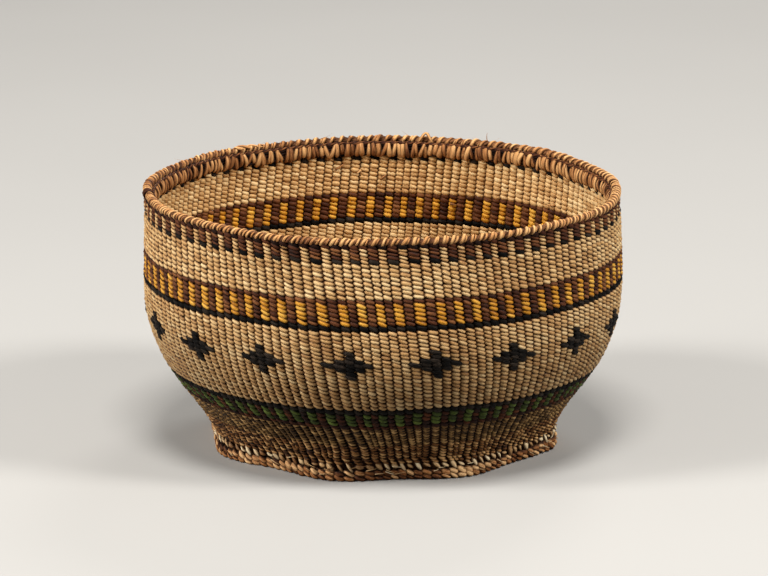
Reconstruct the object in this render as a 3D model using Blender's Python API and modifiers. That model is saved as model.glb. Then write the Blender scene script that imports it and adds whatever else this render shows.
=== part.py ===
# A small twined bowl basket: plaited base, stakes, woven bands, laid-on crosses, foot and rim cords.
# Metres, +Z up. The origin is on the table, under the middle of the bowl. The front faces -Y.

import math

import bmesh
import bpy

MM = 0.001

# Wall outline: height and radius of its outer face, and the slope dr/dz there
FOOT_RADIUS = 45.2 * MM
FOOT_SLOPE = 0.10
WAIST_HEIGHT = 6.0 * MM
WAIST_RADIUS = 46.2 * MM
WAIST_SLOPE = 0.50
FLANK_HEIGHT = 20.0 * MM
FLANK_RADIUS = 56.6 * MM
FLANK_SLOPE = 0.76
BELLY_HEIGHT = 44.0 * MM
BELLY_RADIUS = 63.9 * MM
BELLY_SLOPE = 0.0
RIM_HEIGHT = 66.3 * MM
RIM_DRAW_IN = 0.5 * MM
RIM_RADIUS = BELLY_RADIUS - RIM_DRAW_IN
RIM_SLOPE = 0.0

# Layers of the wall, from its outer face inwards
OUTER_WEFT = 0.7 * MM
STAKE_THICKNESS = 0.6 * MM
INNER_WEFT = 0.6 * MM
GAP = 0.3 * MM

# Height of each woven band, from the rim down. The foot wall takes what is left.
CHECK_BAND_HEIGHT = 4.0 * MM
UPPER_FIELD_HEIGHT = 9.4 * MM
BROWN_ROW_HEIGHT = 1.1 * MM
AMBER_BAND_HEIGHT = 5.9 * MM
UPPER_BLACK_HEIGHT = 1.5 * MM
FIELD_HEIGHT = 21.5 * MM
LOWER_BLACK_HEIGHT = 1.4 * MM
GREEN_BAND_HEIGHT = 3.6 * MM
DARK_ROW_HEIGHT = 1.0 * MM

UPPER_FIELD_TOP = RIM_HEIGHT - CHECK_BAND_HEIGHT
BROWN_ROW_TOP = UPPER_FIELD_TOP - UPPER_FIELD_HEIGHT
AMBER_BAND_TOP = BROWN_ROW_TOP - BROWN_ROW_HEIGHT
UPPER_BLACK_TOP = AMBER_BAND_TOP - AMBER_BAND_HEIGHT
FIELD_TOP = UPPER_BLACK_TOP - UPPER_BLACK_HEIGHT
LOWER_BLACK_TOP = FIELD_TOP - FIELD_HEIGHT
GREEN_BAND_TOP = LOWER_BLACK_TOP - LOWER_BLACK_HEIGHT
DARK_ROW_TOP = GREEN_BAND_TOP - GREEN_BAND_HEIGHT
FOOT_WALL_TOP = DARK_ROW_TOP - DARK_ROW_HEIGHT

# Crosses laid over the field, each five stake columns wide. The first ones stand at these degrees to the
# right of the front, as the maker set them out by eye. The others are spaced evenly round the back.
CROSS_AZIMUTHS = (-70.9, -49.2, -29.5, -7.3, 12.8, 32.3, 53.3, 75.3)
CROSS_COUNT = 17
STAKE_COUNT = 154
CROSS_COLUMN_ROWS = (1, 3, 7, 3, 1)
CROSS_ROW_PITCH = 1.05 * MM
CROSS_DROP = 9.1 * MM
CROSS_HEIGHT = FIELD_TOP - CROSS_DROP
CROSS_THICKNESS = 0.4 * MM

# Foot: two thick twined cords, one on the other
FOOT_CORD_HEIGHT = 1.25 * MM
FOOT_CORD_DEPTH = 2.4 * MM
FOOT_CORD_BEAD_COUNT = 54
FOOT_CORD_SQUEEZE = 0.80

# Rim: a two-strand cord along the edge, and the folded stake ends inside it
RIM_CORD_RADIUS = 1.3 * MM
RIM_CORD_OVERHANG = 0.3 * MM
RIM_CORD_TWIST_COUNT = STAKE_COUNT // 2
RIM_CORD_SQUEEZE = 0.85
FOLD_HEIGHT = 4.2 * MM
FOLD_THICKNESS = 1.2 * MM
FOLD_COUNT = STAKE_COUNT // 2
FOLD_SQUEEZE = 0.65

# Base: plaited strips, whose ends are held between two twined borders
BASE_STRIP_COUNT = 6
STRIP_THICKNESS = 0.6 * MM
STRIP_SPACE = 1.2 * MM
BASE_HEIGHT = 3.6 * MM
BORDER_THICKNESS = 0.6 * MM
BORDER_INNER_RADIUS = 30.0 * MM

# The foot was pulled out of round by hand: shallow waves that die out up the wall
WAVE_COUNT = 6
WAVE_DEPTH = 1.8 * MM
WAVE_HEIGHT = 18.0 * MM
WAVE_TURN = math.radians(-105.0)

# Fineness of the rings and of the straight rows that make up the curved wall
RING_STEPS = 36
FOOT_WALL_ROW_COUNT = 3
FIELD_ROW_COUNT = 4
WELD = 0.00001

CEDAR = ("cedar_bark", (0.33, 0.17, 0.075), 0.85)
GRASS = ("pale_grass", (0.56, 0.40, 0.22), 0.75)
BROWN = ("brown_dye", (0.11, 0.042, 0.020), 0.80)
BLACK = ("black_dye", (0.012, 0.013, 0.016), 0.70)
AMBER = ("amber_dye", (0.60, 0.27, 0.030), 0.70)
GREEN = ("green_dye", (0.075, 0.125, 0.020), 0.75)


def clear_scene():
    for thing in list(bpy.data.objects):
        bpy.data.objects.remove(thing, do_unlink=True)


def make_material(piece_name, finish):
    finish_name, colour, roughness = finish
    material = bpy.data.materials.new(piece_name + "_" + finish_name)
    material.use_nodes = True
    shader = material.node_tree.nodes["Principled BSDF"]
    shader.inputs["Base Color"].default_value = (*colour, 1.0)
    shader.inputs["Roughness"].default_value = roughness
    shader.inputs["Metallic"].default_value = 0.0
    material.diffuse_color = (*colour, 1.0)
    return material


def add_piece(name, mesh, finish, collection):
    mesh.name = name
    mesh.materials.clear()
    mesh.materials.append(make_material(name, finish))
    mesh.shade_smooth()
    mesh.set_sharp_from_angle(angle=math.radians(35.0))
    piece = bpy.data.objects.new(name, mesh)
    collection.objects.link(piece)
    return piece


# The outline of the wall

LANDMARKS = (
    (0.0, FOOT_RADIUS, FOOT_SLOPE),
    (WAIST_HEIGHT, WAIST_RADIUS, WAIST_SLOPE),
    (FLANK_HEIGHT, FLANK_RADIUS, FLANK_SLOPE),
    (BELLY_HEIGHT, BELLY_RADIUS, BELLY_SLOPE),
    (RIM_HEIGHT, RIM_RADIUS, RIM_SLOPE),
)


def wall_radius(height):
    """Outer radius at a height: one smooth cubic between each two landmarks."""
    for low, high in zip(LANDMARKS, LANDMARKS[1:]):
        if height <= high[0]:
            break
    span = high[0] - low[0]
    t = min(max((height - low[0]) / span, 0.0), 1.0)
    return (
        (1 + 2 * t) * (1 - t) ** 2 * low[1]
        + t * (1 - t) ** 2 * span * low[2]
        + t * t * (3 - 2 * t) * high[1]
        + t * t * (t - 1) * span * high[2]
    )


def wall_knots():
    """Heights where the straight rows of the wall meet. All its layers share them."""
    spans = (
        (foot_top(), FOOT_WALL_TOP, FOOT_WALL_ROW_COUNT),
        (FOOT_WALL_TOP, LOWER_BLACK_TOP, 1),
        (LOWER_BLACK_TOP, FIELD_TOP, FIELD_ROW_COUNT),
        (FIELD_TOP, RIM_HEIGHT, 1),
    )
    knots = [low + (high - low) * i / rows for low, high, rows in spans for i in range(rows)]
    return knots + [RIM_HEIGHT]


def smooth_section(height, depth):
    """Radius of the point that lies depth inside the outer face, measured square to it."""
    step = 0.05 * MM
    slope = (wall_radius(height + step) - wall_radius(height - step)) / (2 * step)
    return wall_radius(height) - depth * math.hypot(1.0, slope)


def wall_section(height, depth):
    """Radius of a layer at a height, on the straight row between the two nearest knots."""
    knots = wall_knots()
    for low, high in zip(knots, knots[1:]):
        if height <= high:
            break
    share = (height - low) / (high - low)
    return smooth_section(low, depth) * (1 - share) + smooth_section(high, depth) * share


def shaped_by_hand(x, y, z):
    """Moves a point of the true round basket to where the maker's hands left it."""
    wave = math.cos(WAVE_COUNT * (math.atan2(y, x) - WAVE_TURN))
    fade = max(0.0, 1.0 - max(z, 0.0) / WAVE_HEIGHT) ** 2
    grow = 1.0 + WAVE_DEPTH / FOOT_RADIUS * wave * fade
    return x * grow, y * grow, z


# Ways of making a ring


def every_second_step_pressed(mesh, steps, centre, squeeze, turn):
    """Draws each second section of a ring in towards its centre and turns it, as twisted strands lie."""
    for vertex in mesh.vertices:
        angle = math.atan2(vertex.co.y, vertex.co.x)
        if round(angle * steps / (2 * math.pi)) % 2 == 0:
            continue
        out = (math.hypot(vertex.co.x, vertex.co.y) - centre[0]) * squeeze
        up = (vertex.co.z - centre[1]) * squeeze
        radius = centre[0] + out * math.cos(turn) - up * math.sin(turn)
        vertex.co.x = radius * math.cos(angle)
        vertex.co.y = radius * math.sin(angle)
        vertex.co.z = centre[1] + out * math.sin(turn) + up * math.cos(turn)


def turned_ring(name, section, finish, collection, steps=RING_STEPS, press=None):
    """A closed section of (radius, height) points, down the outside and up the inside, turned about Z."""
    outline = bpy.data.meshes.new(name + "_section")
    points = [(radius, 0.0, z) for radius, z in section]
    edges = [(i, (i + 1) % len(points)) for i in range(len(points))]
    outline.from_pydata(points, edges, [])
    blank = bpy.data.objects.new(name + "_blank", outline)
    collection.objects.link(blank)
    turn = blank.modifiers.new("turn", "SCREW")
    turn.axis = "Z"
    turn.steps = steps
    turn.render_steps = steps
    turn.use_merge_vertices = True
    turn.merge_threshold = WELD
    view = bpy.context.evaluated_depsgraph_get()
    mesh = bpy.data.meshes.new_from_object(blank.evaluated_get(view))
    bpy.data.objects.remove(blank, do_unlink=True)
    if press:
        every_second_step_pressed(mesh, steps, *press)
    for vertex in mesh.vertices:
        vertex.co = shaped_by_hand(*vertex.co)
    return add_piece(name, mesh, finish, collection)


def wall_ring(name, bottom, top, outer_depth, inner_depth, finish, collection):
    """A layer of the wall between two heights."""
    heights = [bottom] + [z for z in wall_knots() if bottom + GAP < z < top - GAP] + [top]
    outer = [(wall_section(z, outer_depth), z) for z in reversed(heights)]
    inner = [(wall_section(z, inner_depth), z) for z in heights]
    return turned_ring(name, outer + inner, finish, collection)


# The foot and the base


def foot_top():
    """The wall starts just above the two foot cords."""
    return 2 * (FOOT_CORD_HEIGHT + GAP)


def build_foot(collection):
    outside = wall_radius(0.0)
    inside = outside - FOOT_CORD_DEPTH
    middle = (outside + inside) / 2
    bulge = FOOT_CORD_HEIGHT * 0.3
    for name, bottom in (("foot_cord_lower", 0.0), ("foot_cord_upper", FOOT_CORD_HEIGHT + GAP)):
        top = bottom + FOOT_CORD_HEIGHT
        section = [
            (outside - bulge, top),
            (outside, (bottom + top) / 2),
            (outside - bulge, bottom),
            (inside, bottom),
            (inside, top),
        ]
        press = ((middle, bottom), FOOT_CORD_SQUEEZE, 0.0)
        turned_ring(name, section, CEDAR, collection, 2 * FOOT_CORD_BEAD_COUNT, press)


def base_radius():
    """The plaited strips end just inside the stakes."""
    inner_face = OUTER_WEFT + GAP + STAKE_THICKNESS
    return wall_section(BASE_HEIGHT, inner_face) - GAP - WAVE_DEPTH


def strip_path(lane, starts_over):
    """Distance along a strip and height of its middle, over and under the strips that cross it."""
    reach = base_radius()
    pitch = 2 * reach / BASE_STRIP_COUNT
    half_width = (pitch - STRIP_SPACE) / 2
    far_side = abs(lane_offset(lane)) + half_width
    half_length = math.sqrt(reach**2 - far_side**2)
    rise = (STRIP_THICKNESS + GAP) / 2
    path = []
    for crossing in range(BASE_STRIP_COUNT):
        middle = lane_offset(crossing)
        over = (lane + crossing + starts_over) % 2 == 0
        for along in (middle - half_width, middle + half_width):
            along = min(max(along, -half_length), half_length)
            if not path or along - path[-1][0] > GAP:
                path.append((along, BASE_HEIGHT + (rise if over else -rise)))
    return path


def lane_offset(lane):
    return (lane - (BASE_STRIP_COUNT - 1) / 2) * 2 * base_radius() / BASE_STRIP_COUNT


def build_strip(name, lane, along_x, collection):
    path = strip_path(lane, 0 if along_x else 1)
    width = 2 * base_radius() / BASE_STRIP_COUNT - STRIP_SPACE
    ribbon = bmesh.new()
    bmesh.ops.create_grid(ribbon, x_segments=len(path) - 1, y_segments=1, size=1.0)
    for vertex in ribbon.verts:
        place = round((vertex.co.x + 1.0) / 2.0 * (len(path) - 1))
        along, height = path[place]
        across = lane_offset(lane) + math.copysign(width / 2, vertex.co.y)
        vertex.co = (along, across, height) if along_x else (across, along, height)
    mesh = bpy.data.meshes.new(name)
    ribbon.to_mesh(mesh)
    ribbon.free()
    strip = add_piece(name, mesh, CEDAR, collection)
    thicken(strip, STRIP_THICKNESS)


def thicken(piece, thickness):
    """Gives a sheet its thickness, half on each side."""
    wall = piece.modifiers.new("thickness", "SOLIDIFY")
    wall.thickness = thickness
    wall.offset = 0.0
    wall.use_even_offset = True


def base_stack():
    """From the middle of the plait to the face of a border: the two strips and the gaps round them."""
    return STRIP_THICKNESS + 1.5 * GAP


def build_border(name, bottom, outer_radius, collection):
    top = bottom + BORDER_THICKNESS
    section = [
        (outer_radius, top),
        (outer_radius, bottom),
        (BORDER_INNER_RADIUS, bottom),
        (BORDER_INNER_RADIUS, top),
    ]
    turned_ring(name, section, GRASS, collection)


def build_base(collection):
    for lane in range(BASE_STRIP_COUNT):
        build_strip(f"base_strip_long_{lane + 1}", lane, True, collection)
        build_strip(f"base_strip_cross_{lane + 1}", lane, False, collection)
    under = BASE_HEIGHT - base_stack() - BORDER_THICKNESS
    within_foot = wall_radius(0.0) - FOOT_CORD_DEPTH - GAP
    build_border("base_border_under", under, within_foot, collection)
    over = BASE_HEIGHT + base_stack()
    within_stakes = wall_section(over, OUTER_WEFT + GAP + STAKE_THICKNESS) - GAP
    build_border("base_border_inside", over, within_stakes, collection)


# The wall


def build_stakes(collection):
    outer = OUTER_WEFT + GAP
    inner = outer + STAKE_THICKNESS
    wall_ring("stakes", foot_top(), RIM_HEIGHT, outer, inner, CEDAR, collection)


def build_outer_weft(collection):
    bands = (
        ("foot_wall_weft", FOOT_WALL_TOP, GRASS),
        ("dark_row_weft", DARK_ROW_TOP, BROWN),
        ("green_band_weft", GREEN_BAND_TOP, GREEN),
        ("lower_black_weft", LOWER_BLACK_TOP, BLACK),
        ("field_weft", FIELD_TOP, GRASS),
        ("upper_black_weft", UPPER_BLACK_TOP, BLACK),
        ("amber_band_weft", AMBER_BAND_TOP, AMBER),
        ("brown_row_weft", BROWN_ROW_TOP, BROWN),
        ("upper_field_weft", UPPER_FIELD_TOP, GRASS),
        ("check_band_weft", RIM_HEIGHT, BROWN),
    )
    bottom = foot_top()
    for name, top, finish in bands:
        end = top if top == RIM_HEIGHT else top - GAP
        wall_ring(name, bottom, end, 0.0, OUTER_WEFT, finish, collection)
        bottom = top


def build_inner_weft(collection):
    outer = OUTER_WEFT + GAP + STAKE_THICKNESS + GAP
    inner = outer + INNER_WEFT
    bands = (
        ("inner_lower_weft", UPPER_BLACK_TOP, GRASS),
        ("inner_amber_weft", BROWN_ROW_TOP, AMBER),
        ("inner_upper_weft", RIM_HEIGHT - FOLD_HEIGHT, GRASS),
    )
    bottom = BASE_HEIGHT + base_stack() + BORDER_THICKNESS + GAP
    for name, top, finish in bands:
        wall_ring(name, bottom, top - GAP, outer, inner, finish, collection)
        bottom = top


def cross_angle(cross):
    """Turn about Z of the middle of a cross."""
    last_set = len(CROSS_AZIMUTHS) - 1
    if cross <= last_set:
        azimuth = CROSS_AZIMUTHS[cross]
    else:
        left = 360.0 + CROSS_AZIMUTHS[0] - CROSS_AZIMUTHS[-1]
        azimuth = CROSS_AZIMUTHS[-1] + left * (cross - last_set) / (CROSS_COUNT - last_set)
    return math.radians(azimuth - 90.0)


def cross_sheet(middle_angle):
    """The stepped outline of one cross, as cells laid round the wall."""
    columns = len(CROSS_COLUMN_ROWS)
    edges = sorted({side * rows / 2 for rows in CROSS_COLUMN_ROWS for side in (-1, 1)})
    sheet = bmesh.new()
    bmesh.ops.create_grid(sheet, x_segments=columns, y_segments=len(edges) - 1, size=1.0)
    cells = []
    for vertex in sheet.verts:
        column = (vertex.co.x + 1.0) / 2.0 * columns
        row = round((vertex.co.y + 1.0) / 2.0 * (len(edges) - 1))
        vertex.co = (column, edges[row], 0.0)
    for cell in sheet.faces:
        middle = cell.calc_center_median()
        if abs(middle.y) > CROSS_COLUMN_ROWS[int(middle.x)] / 2:
            cells.append(cell)
    bmesh.ops.delete(sheet, geom=cells, context="FACES")
    for vertex in sheet.verts:
        angle = middle_angle + (vertex.co.x - columns / 2) / STAKE_COUNT * 2 * math.pi
        height = CROSS_HEIGHT + vertex.co.y * CROSS_ROW_PITCH
        radius = wall_section(height, -GAP - CROSS_THICKNESS / 2)
        vertex.co = (radius * math.cos(angle), radius * math.sin(angle), height)
    return sheet


def build_crosses(collection):
    for cross in range(CROSS_COUNT):
        sheet = cross_sheet(cross_angle(cross))
        name = f"cross_{cross + 1:02d}"
        mesh = bpy.data.meshes.new(name)
        sheet.to_mesh(mesh)
        sheet.free()
        piece = add_piece(name, mesh, BLACK, collection)
        thicken(piece, CROSS_THICKNESS)


# The rim


def build_rim(collection):
    reach = RIM_CORD_RADIUS
    centre = (RIM_RADIUS + RIM_CORD_OVERHANG - reach, RIM_HEIGHT + GAP + reach)
    section = [
        (centre[0] + reach * math.cos(corner), centre[1] + reach * math.sin(corner))
        for corner in (0.0, -math.pi / 2, math.pi, math.pi / 2)
    ]
    press = (centre, RIM_CORD_SQUEEZE, math.radians(45.0))
    turned_ring("rim_edge_cord", section, CEDAR, collection, 2 * RIM_CORD_TWIST_COUNT, press)

    bottom = RIM_HEIGHT - FOLD_HEIGHT
    middle = RIM_HEIGHT - FOLD_HEIGHT / 2
    back = OUTER_WEFT + GAP + STAKE_THICKNESS + GAP
    edge = back + FOLD_THICKNESS / 2
    front = back + FOLD_THICKNESS
    section = [
        (wall_section(RIM_HEIGHT, back), RIM_HEIGHT),
        (wall_section(bottom, back), bottom),
        (wall_section(bottom, edge), bottom),
        (wall_section(middle, front), middle),
        (wall_section(RIM_HEIGHT, edge), RIM_HEIGHT),
    ]
    press = ((wall_section(middle, back), middle), FOLD_SQUEEZE, 0.0)
    turned_ring("rim_folded_ends", section, CEDAR, collection, 2 * FOLD_COUNT, press)


def main():
    clear_scene()
    collection = bpy.data.collections.new("twined_basket")
    bpy.context.scene.collection.children.link(collection)
    build_foot(collection)
    build_base(collection)
    build_stakes(collection)
    build_outer_weft(collection)
    build_inner_weft(collection)
    build_crosses(collection)
    build_rim(collection)


main()
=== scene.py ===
# A small twined bowl basket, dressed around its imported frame. The front faces -Y and the table is at z = 0.
# Lengths are in millimetres up to the moment a mesh is filled.
from functools import cache
from math import atan2, cos, hypot, pi, radians, sin, sqrt

import bmesh
import bpy
import numpy as np
from mathutils import Matrix, Vector
from numpy.random import default_rng


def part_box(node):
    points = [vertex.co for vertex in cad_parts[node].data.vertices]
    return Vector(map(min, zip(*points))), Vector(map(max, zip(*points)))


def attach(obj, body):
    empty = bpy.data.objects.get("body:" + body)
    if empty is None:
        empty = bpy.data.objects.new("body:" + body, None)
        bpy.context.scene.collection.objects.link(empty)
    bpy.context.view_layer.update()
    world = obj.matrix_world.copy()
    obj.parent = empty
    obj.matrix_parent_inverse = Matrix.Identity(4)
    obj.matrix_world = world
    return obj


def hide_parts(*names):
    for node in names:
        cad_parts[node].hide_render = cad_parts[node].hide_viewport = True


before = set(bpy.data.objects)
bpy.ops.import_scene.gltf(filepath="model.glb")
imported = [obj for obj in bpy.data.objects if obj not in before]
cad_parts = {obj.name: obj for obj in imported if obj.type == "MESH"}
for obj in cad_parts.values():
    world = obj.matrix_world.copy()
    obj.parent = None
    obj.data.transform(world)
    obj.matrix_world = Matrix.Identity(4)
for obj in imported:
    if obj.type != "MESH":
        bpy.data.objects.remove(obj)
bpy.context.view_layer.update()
print("frame loaded")

mm = 0.001
fullTurn = 2 * pi


# The wall that everything is laid on

wall = {
    "height": [0.0, 6.0, 20.0, 44.0, 66.3],  # landmarks of the outer face
    "radius": [46.5, 46.9, 56.6, 63.9, 63.4], "slope": [0.10, 0.50, 0.76, 0.0, 0.0],
    "middleDepth": 1.3,  # from the outer face in to the middle of the stakes
    "footWaves": 8, "footWaveDepth": 1.6, "footWaveHeight": 18.0, "footWaveTurn": radians(-107.0),
    "handWander": 0.16,  # how far the rows stray from true
    "wanderFrom": 20.0,  # in full from this height up
    "backLift": 0.45,  # the rim's rise at the back and drop in front
    "liftFrom": 40.0, "liftSpan": 28.0,
    "sag": 0.65,  # how far the rows above the foot have sunk
    "sagHeight": 18.0, "sagReach": 8.0,
}


def wallRadius(height):
    heights, radii, slopes = (np.array(wall[kind]) for kind in ("height", "radius", "slope"))
    i = np.clip(np.searchsorted(heights, height, side="right") - 1, 0, len(heights) - 2)
    span = heights[i + 1] - heights[i]
    t = np.clip((height - heights[i]) / span, 0.0, 1.0)
    return (
        (1 + 2 * t) * (1 - t) ** 2 * radii[i]
        + t * (1 - t) ** 2 * span * slopes[i]
        + t * t * (3 - 2 * t) * radii[i + 1]
        + t * t * (t - 1) * span * slopes[i + 1]
    )


def wallSlope(height):
    step = 0.05
    return (wallRadius(height + step) - wallRadius(height - step)) / (2 * step)


def shapedByHand(places):
    # the foot's shallow waves, which die out up the wall
    x, y, z = np.moveaxis(places, -1, 0)
    wave = np.cos(wall["footWaves"] * (np.arctan2(y, x) - wall["footWaveTurn"]))
    fade = np.clip(1.0 - np.maximum(z, 0.0) / wall["footWaveHeight"], 0.0, 1.0) ** 2
    grow = 1.0 + wall["footWaveDepth"] / wall["radius"][0] * wave * fade
    return np.stack((x * grow, y * grow, z), axis=-1)


def outOfWall(angle, height):
    slope = wallSlope(height)
    length = np.hypot(1.0, slope)
    return np.stack((np.cos(angle) / length, np.sin(angle) / length, -slope / length), axis=-1)


def onWall(angle, height, depth, side=1):
    # the point at this depth square to the outer face, and the way out from there, or in where side is -1
    slope = wallSlope(height)
    length = np.hypot(1.0, slope)
    stray = wall["handWander"] * (np.sin(5 * angle + height / 9) + 0.7 * np.sin(11 * angle - height / 7))
    radius = wallRadius(height) - (depth + stray) / length
    lift = depth * slope / length
    settled = wall["handWander"] * np.clip(height / wall["wanderFrom"], 0.0, 1.0)
    lift = lift - settled * (np.sin(3 * angle + 1.1) + 0.8 * np.sin(8 * angle + 2.0 + height / 30))
    high = np.clip((height - wall["liftFrom"]) / wall["liftSpan"], 0.0, 1.0)
    lift = lift + wall["backLift"] * high * np.sin(angle)
    lift = lift - wall["sag"] * np.exp(-(((height - wall["sagHeight"]) / wall["sagReach"]) ** 2))
    place = np.stack((radius * np.cos(angle), radius * np.sin(angle), height + lift), axis=-1)
    return shapedByHand(place), side * outOfWall(angle, height)


def upFrom(low, share):
    # low where the share is 0, and 1 where it is 1
    return low + (1 - low) * share


def loosely(rng, shape):
    return rng.normal(0, 1, shape).clip(-2, 2)


# Bands of the wall, from the foot up. Strand 0 shows on the even stitches and strand 1 on the odd ones.
# A weave is its slant, the share of a row's height that its stitches fill, and how full their ends are.
# Inner is the solid of its inner half, where it has one.

bands = {
    "foot_wall": {"rows": 15, "strands": ("footGrassDirtAndShade", "footGrassDirtAndShade"), "weave": (0.30, 0.94, 0.50),
                  "blunt": 0.80, "inner": ["inner_lower_weft"]},
    "dark_row": {"rows": 1, "strands": ("darkBrown", "darkBrown"), "weave": (0.26, 1.00, 0.70)},
    "green_band": {"rows": 3, "strands": ("darkBrown", "green"), "weave": (0.24, 0.98, 0.70)},
    "lower_black": {"rows": 1, "strands": ("black", "black"), "weave": (0.22, 0.86, 0.86)},
    "field": {"rows": 20, "strands": ("grass", "grass"), "weave": (0.33, 0.96, 0.64)},
    "upper_black": {"rows": 1, "strands": ("black", "black"), "weave": (0.24, 0.82, 0.84)},
    "amber_band": {"rows": 5, "strands": ("amber", "brown"), "weave": (0.33, 0.95, 0.60),
                   "inner": ["inner_amber_weft"]},
    "brown_row": {"rows": 1, "strands": ("brown", "brown"), "weave": (0.30, 0.98, 0.64)},
    "upper_field": {"rows": 8, "strands": ("grass", "grass"), "weave": (0.31, 0.96, 0.64),
                    "inner": ["inner_upper_weft"]},
    "check_band": {"rows": 4, "strands": ("brown", "grass"), "weave": (0.34, 0.88, 0.56)},
}
bandGap = 0.3  # between the bands in the frame
paleRowHeight = 1.5  # the foot wall's lowest row is taller


def rowsOf(name, band, index):
    low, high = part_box(name + "_weft")
    bottom = low[2] / mm
    top = high[2] / mm + (0.0 if name == "check_band" else bandGap)
    edges = np.linspace(bottom, top, band["rows"] + 1)
    if name == "foot_wall":
        edges = np.concatenate(([bottom], np.linspace(bottom + paleRowHeight, top, band["rows"])))
    return [
        {"height": (lower + upper) / 2, "tall": upper - lower, "seed": index * 100 + i}
        for i, (lower, upper) in enumerate(zip(edges, edges[1:]))
    ]


for index, (name, band) in enumerate(bands.items()):
    band["laid"] = rowsOf(name, band, index)


# Stakes: nine from each cross to the next, and fewer at the foot

stakes = {
    "apart": 9,
    "wideGap": 8,  # the gap that holds one stake more
    "late": 28,  # stakes that start above the foot
    "lateInRow": [4] * 5 + [2] * 4,  # even, so that both strands close
    "begin": 0.14,  # share of its place that a new stake starts with
    "grow": 17.0,  # millimetres in which it gets the whole
    "crossHeight": 35.3,
    "lean": 0.105,  # degrees for each millimetre down
    "footLean": 0.12,  # and more in the foot
    "footLeanBelow": 20.0, "uneven": 0.10,
    "wander": 0.0024,  # radians that each stake strays
    "wanderHeight": 6.5,
    "phaseStep": 0.9,  # from one stake to the next
    "spreadSeed": 8, "lateSeed": 5, "phaseSeed": 6,
}


def crossAngle(name):
    low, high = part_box(name)
    return atan2(low[1] + high[1], low[0] + high[0])


# the crosses in order, from the one nearest to the middle of the front
crossNames = sorted(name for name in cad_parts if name.startswith("cross_"))
frontCross = min(range(len(crossNames)), key=lambda i: abs(crossAngle(crossNames[i]) + pi / 2))
crossNames = crossNames[frontCross:] + crossNames[:frontCross]


def spreadStakes():
    # the stakes' angles at the height of the crosses, and which of them carry one
    angles = np.unwrap([crossAngle(name) for name in crossNames])
    angles = np.append(angles, angles[0] + fullTurn)
    rng = default_rng(stakes["spreadSeed"])
    spread = []
    carriers = []
    for gap, (start, end) in enumerate(zip(angles, angles[1:])):
        count = stakes["apart"] + (1 if gap == stakes["wideGap"] else 0)
        widths = 1.0 + stakes["uneven"] * loosely(rng, count)
        carriers.append(len(spread))
        before = np.concatenate(([0.0], np.cumsum(widths)[:-1]))
        spread.extend(start + (end - start) * before / widths.sum())
    return np.array(spread), carriers


stakeAngle, crossStakes = spreadStakes()
stakes["count"] = len(stakeAngle)
stakeWidth = ((np.roll(stakeAngle, -1) - np.roll(stakeAngle, 1)) % fullTurn) / 2


def stakeStarts():
    spaced = np.arange(stakes["late"]) * stakes["count"] / stakes["late"]
    late = default_rng(stakes["lateSeed"]).permutation(np.round(spaced).astype(int) + 1)
    starts = np.full(stakes["count"], -10.0)  # below the table
    used = 0
    for row, added in zip(bands["foot_wall"]["laid"][1:], stakes["lateInRow"]):
        starts[late[used:used + added]] = row["height"] - row["tall"] / 2
        used += added
    return starts


stakeStart = stakeStarts()
phaseSteps = default_rng(stakes["phaseSeed"]).normal(0, stakes["phaseStep"], stakes["count"])
stakePhase = np.cumsum(phaseSteps)


def lean(height):
    extra = stakes["footLean"] * np.maximum(0.0, stakes["footLeanBelow"] - height)
    return np.radians(extra - stakes["lean"] * (height - stakes["crossHeight"]))


def stakeAngles(height):
    # the middle and half width of every stake at this height, and which have begun
    full = np.clip(stakes["begin"] + (height - stakeStart) / stakes["grow"], 0.0, 1.0)
    full = full * (height >= stakeStart)
    width = stakeWidth * full
    width = width / width.sum() * fullTurn
    middles = np.cumsum(width) - width / 2
    middles = middles + np.mean(stakeAngle - middles) + lean(height)
    middles = middles + stakes["wander"] * np.sin(height / stakes["wanderHeight"] + stakePhase)
    return middles, full > 0, width / 2


def alongStakes(u, middles):
    # the angle at stake number u
    around = np.concatenate(([middles[-1] - fullTurn], middles, [middles[0] + fullTurn]))
    return np.interp(u, np.arange(-1, len(middles) + 1), around)


# Strands: a ring or a rod made once, then bent along each path

stitchSteps = [-0.43, -0.29, 0.0, 0.29, 0.43]  # close together where a strand turns
strandSides = 6
ringReach = 10.0


def meshFrom(work, name):
    mesh = bpy.data.meshes.new(name)
    work.to_mesh(mesh)
    work.free()
    return mesh


def placesOf(mesh):
    places = np.empty(len(mesh.vertices) * 3)
    mesh.vertices.foreach_get("co", places)
    return places.reshape(-1, 3)


def mark(mesh, fibre, stitch):
    # fibre is the place in the strand, and stitch the tone, how open it lies and the side; the last two set
    # the painted shade in the gaps and along the edges
    for name, values in (("fibre", fibre), ("stitch", stitch)):
        kept = mesh.attributes.get(name) or mesh.attributes.new(name, "FLOAT_VECTOR", "POINT")
        kept.data.foreach_set("vector", np.stack(values, axis=-1).ravel())


def shapeFrom(work, steps, sides, ring):
    # the mesh, and each point's step along a path and turn round it
    bmesh.ops.recalc_face_normals(work, faces=work.faces)
    mesh = meshFrom(work, "strand_shape")
    x, y, z = placesOf(mesh).T
    if ring:
        step = np.rint(np.arctan2(y, x) / fullTurn * steps).astype(int) % steps
        turn = np.arctan2(z, np.hypot(x, y) - ringReach)
    else:
        step = np.rint(z).astype(int)
        turn = np.arctan2(-y, x)
    side = np.rint(turn / fullTurn * sides).astype(int) % sides
    return {"mesh": mesh, "step": step, "turn": side * fullTurn / sides}


@cache
def ringShape(steps):
    work = bmesh.new()
    upright = Matrix.Rotation(pi / 2, 4, "X") @ Matrix.Rotation(pi / 2, 4, "Z")
    stand = Matrix.Translation((ringReach, 0, 0)) @ upright
    bmesh.ops.create_circle(work, segments=strandSides, radius=1.0, matrix=stand)
    bmesh.ops.spin(
        work, geom=work.verts[:] + work.edges[:], cent=(0, 0, 0), axis=(0, 0, 1), angle=fullTurn,
        steps=steps, use_merge=True,
    )
    return shapeFrom(work, steps, strandSides, True)


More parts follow.
